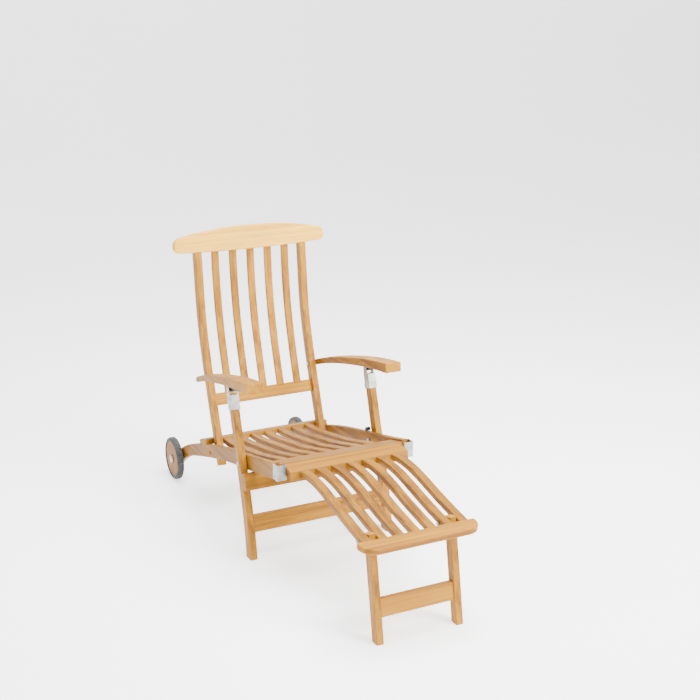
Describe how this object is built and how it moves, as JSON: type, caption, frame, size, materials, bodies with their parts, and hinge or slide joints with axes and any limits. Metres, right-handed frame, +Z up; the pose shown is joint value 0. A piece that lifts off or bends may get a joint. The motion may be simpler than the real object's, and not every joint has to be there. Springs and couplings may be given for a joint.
{
  "type": "folding deck chair",
  "caption": "Wooden folding steamer lounge with slatted seat and back, curved arms, rear wheels and a hook-on slatted footrest on its own folding legs.",
  "frame": {"origin": "on the floor under the middle of the chair's bounding box", "axes": "+Z up, footrest towards -Y, sitter's left towards +X"},
  "size_m": [0.6, 1.6303, 1.041],
  "materials": {
    "teak": "sanded, satin",
    "pale_teak": "sanded, satin",
    "wheel_wood": "turned, satin",
    "stainless": "brushed",
    "black_plastic": "matt",
    "tyre": "ribbed rubber"
  },
  "bodies": {
    "seat_frame": {"side_rail_left": "teak", "side_rail_right": "teak", "seat_front_rail": "teak", "seat_rear_board": "teak", "seat_slat_1": "teak", "seat_slat_2": "teak", "seat_slat_3": "teak", "seat_slat_4": "teak", "seat_slat_5": "teak", "seat_slat_6": "teak", "seat_slat_7": "teak", "hook_bracket_left": "stainless", "hook_bracket_right": "stainless", "bracket_screws": "stainless", "wheel_axles": "stainless", "axle_spacers": "black_plastic", "stile_pivot_bolts": "stainless", "leg_pivot_bolts": "stainless"},
    "back": {"stile_left": "teak", "stile_right": "teak", "back_slat_1": "teak", "back_slat_2": "teak", "back_slat_3": "teak", "back_slat_4": "teak", "back_slat_5": "teak", "back_lower_rail": "teak", "headboard": "pale_teak", "arm_pivot_bolts": "stainless", "stile_washers": "black_plastic"},
    "leg_frame": {"front_leg_left": "teak", "front_leg_right": "teak", "leg_upper_rail": "teak", "leg_stretcher": "teak", "leg_straps": "stainless", "strap_rivets": "stainless", "leg_pins": "black_plastic"},
    "footrest": {"footrest_top_rail": "teak", "footrest_end_board": "teak", "footrest_slat_1": "teak", "footrest_slat_2": "teak", "footrest_slat_3": "teak", "footrest_slat_4": "teak", "footrest_slat_5": "teak", "footrest_slat_6": "teak", "footrest_slat_7": "teak", "footrest_hook_pins": "stainless", "footrest_pivot_rods": "stainless"},
    "footrest_legs": {"footrest_leg_left": "teak", "footrest_leg_right": "teak", "footrest_leg_stretcher": "teak"},
    "arm_left": {"armrest_left": "teak", "arm_rack_left": "black_plastic"},
    "wheel_left": {"wheel_disc_left": "wheel_wood", "tyre_left": "tyre", "hub_cap_left": "stainless"},
    "arm_right": {"armrest_right": "teak", "arm_rack_right": "black_plastic"},
    "wheel_right": {"wheel_disc_right": "wheel_wood", "tyre_right": "tyre", "hub_cap_right": "stainless"}
  },
  "joints": [
    {"name": "back_fold", "type": "hinge", "parent": "seat_frame", "child": "back", "pos_m": [0, 0.363, 0.233], "axis": [1, 0, 0], "range_deg": [0, 78]},
    {"name": "leg_fold", "type": "hinge", "parent": "seat_frame", "child": "leg_frame", "pos_m": [0, 0.004, 0.326], "axis": [1, 0, 0], "range_deg": [0, 78]},
    {"name": "footrest_lift_off", "type": "slide", "parent": "seat_frame", "child": "footrest", "axis": [0, 0, 1], "range_m": [0, 0.035]},
    {"name": "footrest_leg_fold", "type": "hinge", "parent": "footrest", "child": "footrest_legs", "pos_m": [0, -0.72, 0.322], "axis": [1, 0, 0], "range_deg": [0, 100]},
    {"name": "arm_left_fold", "type": "hinge", "parent": "back", "child": "arm_left", "pos_m": [0.24, 0.457, 0.492], "axis": [1, 0, 0], "range_deg": [-78, 0]},
    {"name": "wheel_left_spin", "type": "hinge", "parent": "seat_frame", "child": "wheel_left", "pos_m": [0.2685, 0.73, 0.085], "axis": [1, 0, 0], "continuous": true},
    {"name": "arm_right_fold", "type": "hinge", "parent": "back", "child": "arm_right", "pos_m": [-0.24, 0.457, 0.492], "axis": [1, 0, 0], "range_deg": [-78, 0]},
    {"name": "wheel_right_spin", "type": "hinge", "parent": "seat_frame", "child": "wheel_right", "pos_m": [-0.2685, 0.73, 0.085], "axis": [1, 0, 0], "continuous": true}
  ],
  "couplings": [
    {"joint": "leg_fold", "follows": "back_fold", "ratio": 1},
    {"joint": "arm_left_fold", "follows": "back_fold", "ratio": -1},
    {"joint": "arm_right_fold", "follows": "back_fold", "ratio": -1}
  ]
}
